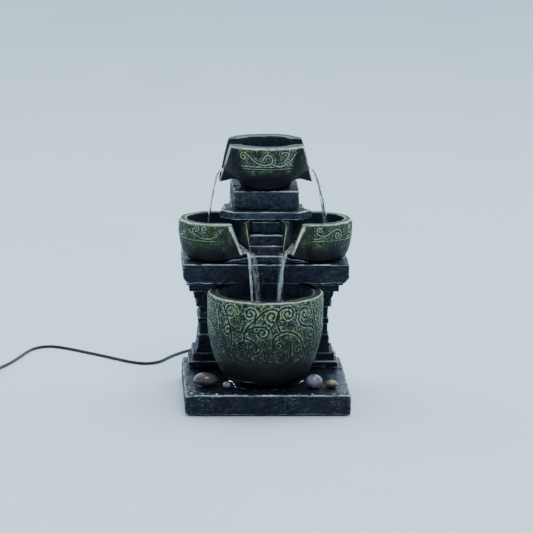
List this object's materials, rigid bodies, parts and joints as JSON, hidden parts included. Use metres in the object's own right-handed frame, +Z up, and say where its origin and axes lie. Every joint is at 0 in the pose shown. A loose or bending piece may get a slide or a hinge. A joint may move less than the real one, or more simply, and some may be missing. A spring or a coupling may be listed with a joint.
{
  "type": "tabletop water fountain",
  "caption": "Tabletop water fountain: a stacked-stone tower on a square slab, with carved bowls that spill into one another and a hidden pump in its back.",
  "frame": {"origin": "on the standing surface, under the middle of the base slab", "axes": "+Z up, -Y is the front with the big bowl, +X to the viewer's right"},
  "size_m": [0.4329, 0.3172, 0.276],
  "materials": {
    "stone_casting": "cold-cast resin cast as chiselled dark slate, dry-brushed pale blue-grey on its edges",
    "carved_bowl": "cold-cast resin with carved scrolls, dark olive bronze rubbed with pale green-gold on rims and raised lines",
    "pebble_brown": "polished reddish-brown river pebble",
    "pebble_blue": "pale blue-grey polished pebble",
    "pebble_grey": "polished grey-purple river pebble",
    "pebble_cream": "polished cream and amber pebble",
    "black_rubber": "soft matt black rubber",
    "pipe_plastic": "moulded black plastic",
    "clear_tube": "milky clear flexible tube",
    "pump_plastic": "moulded black plastic with a fine grain",
    "dial_plastic": "moulded grey plastic",
    "impeller_plastic": "moulded white plastic",
    "potting_resin": "black cast resin",
    "core_steel": "laminated electrical steel",
    "winding_copper": "enamelled copper wire",
    "board_green": "green circuit board",
    "shaft_ceramic": "polished white ceramic",
    "magnet": "sintered dark grey ferrite",
    "cover_plastic": "moulded dark slate-grey plastic with a fine grain",
    "lead_jacket": "matt black flexible jacket",
    "tie_plastic": "black hook-and-loop tie",
    "plug_plastic": "moulded black plug grip",
    "plug_steel": "stamped plated steel",
    "tongue_plastic": "white moulded plastic",
    "contact_brass": "gold-plated contact",
    "water": "clear moving water"
  },
  "bodies": {
    "root": {"base_slab": "stone_casting", "rubber_feet": "black_rubber", "lower_tower": "stone_casting", "ledge_slab": "stone_casting", "upper_tower": "stone_casting", "top_plinth": "stone_casting", "reservoir_bowl": "carved_bowl", "left_bowl": "carved_bowl", "right_bowl": "carved_bowl", "top_bowl": "carved_bowl", "pebble_brown": "pebble_brown", "pebble_blue": "pebble_blue", "pebble_grey": "pebble_grey", "pebble_cream": "pebble_cream", "transfer_pipe": "pipe_plastic", "cord_grommet": "black_rubber", "pump_housing": "pump_plastic", "stator_core": "core_steel", "stator_coils": "winding_copper", "driver_board": "board_green", "pump_potting": "potting_resin", "volute_cover": "pump_plastic", "shaft_bushes": "black_rubber", "pump_shaft": "shaft_ceramic", "suction_cups": "black_rubber", "nozzle_adapter": "pump_plastic", "top_outlet": "pipe_plastic", "riser_tube": "clear_tube", "pump_lead": "lead_jacket", "coil_tie": "tie_plastic", "power_lead_coil": "lead_jacket", "power_lead": "lead_jacket", "power_lead_tail": "lead_jacket", "plug_body": "plug_plastic", "plug_shell": "plug_steel", "plug_tongue": "tongue_plastic", "plug_contacts": "contact_brass"},
    "rotor": {"rotor_magnet": "magnet", "impeller": "impeller_plastic"},
    "strainer": {"intake_cover": "pump_plastic"},
    "dial": {"flow_dial": "dial_plastic"},
    "cover": {"rear_cover": "cover_plastic"}
  },
  "joints": [
    {"name": "rotor_spin", "type": "hinge", "parent": "root", "child": "rotor", "pos_m": [0, 0.0615, 0.053], "axis": [1, 0, 0], "continuous": true},
    {"name": "strainer_pull", "type": "slide", "parent": "root", "child": "strainer", "axis": [-1, 0, 0], "range_m": [0, 0.018]},
    {"name": "flow_dial_turn", "type": "hinge", "parent": "strainer", "child": "dial", "pos_m": [-0.0292, 0.0615, 0.064], "axis": [1, 0, 0], "range_deg": [0, 60]},
    {"name": "rear_cover_pull", "type": "slide", "parent": "root", "child": "cover", "axis": [0, 1, 0], "range_m": [0, 0.03]}
  ]
}
